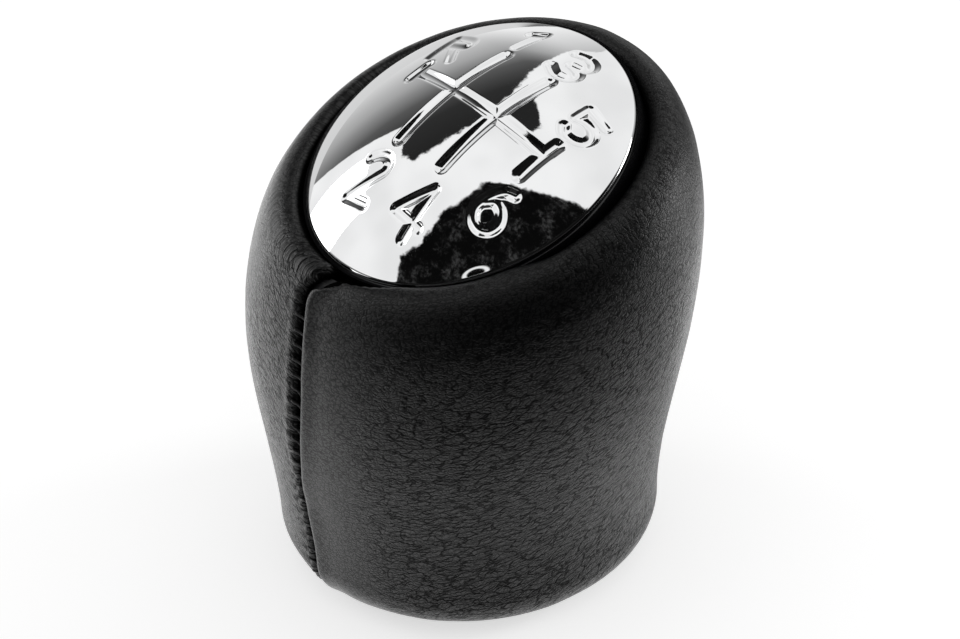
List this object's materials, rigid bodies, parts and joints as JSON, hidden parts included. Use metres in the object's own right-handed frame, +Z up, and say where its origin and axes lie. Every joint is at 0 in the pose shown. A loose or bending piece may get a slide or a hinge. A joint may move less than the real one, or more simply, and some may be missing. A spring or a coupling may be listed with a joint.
{
  "type": "gear shift knob",
  "caption": "Leather-wrapped gear shift knob with a sloping chrome cap and a recessed shift pattern",
  "frame": {"origin": "centre of the mouth of the lever socket, level with the underside of the base ring", "axes": "+X to the right-hand side with fifth gear, +Y to the front where the cap is high, +Z up along the lever"},
  "size_m": [0.0526, 0.0496, 0.0564],
  "materials": {
    "core_plastic": "moulded, dull",
    "cover_leather": "fine pebbled grain, satin",
    "thread": "twisted black thread",
    "carrier_plastic": "polished black",
    "cap_chrome": "bright mirror chrome",
    "bush_plastic": "moulded, dull",
    "ring_plastic": "moulded, fine matt"
  },
  "bodies": {
    "root": {"core": "core_plastic", "leather_cover": "cover_leather", "seam_thread": "thread", "cap_carrier": "carrier_plastic", "shift_cap": "cap_chrome", "lever_bush": "bush_plastic", "base_ring": "ring_plastic"}
  },
  "joints": []
}
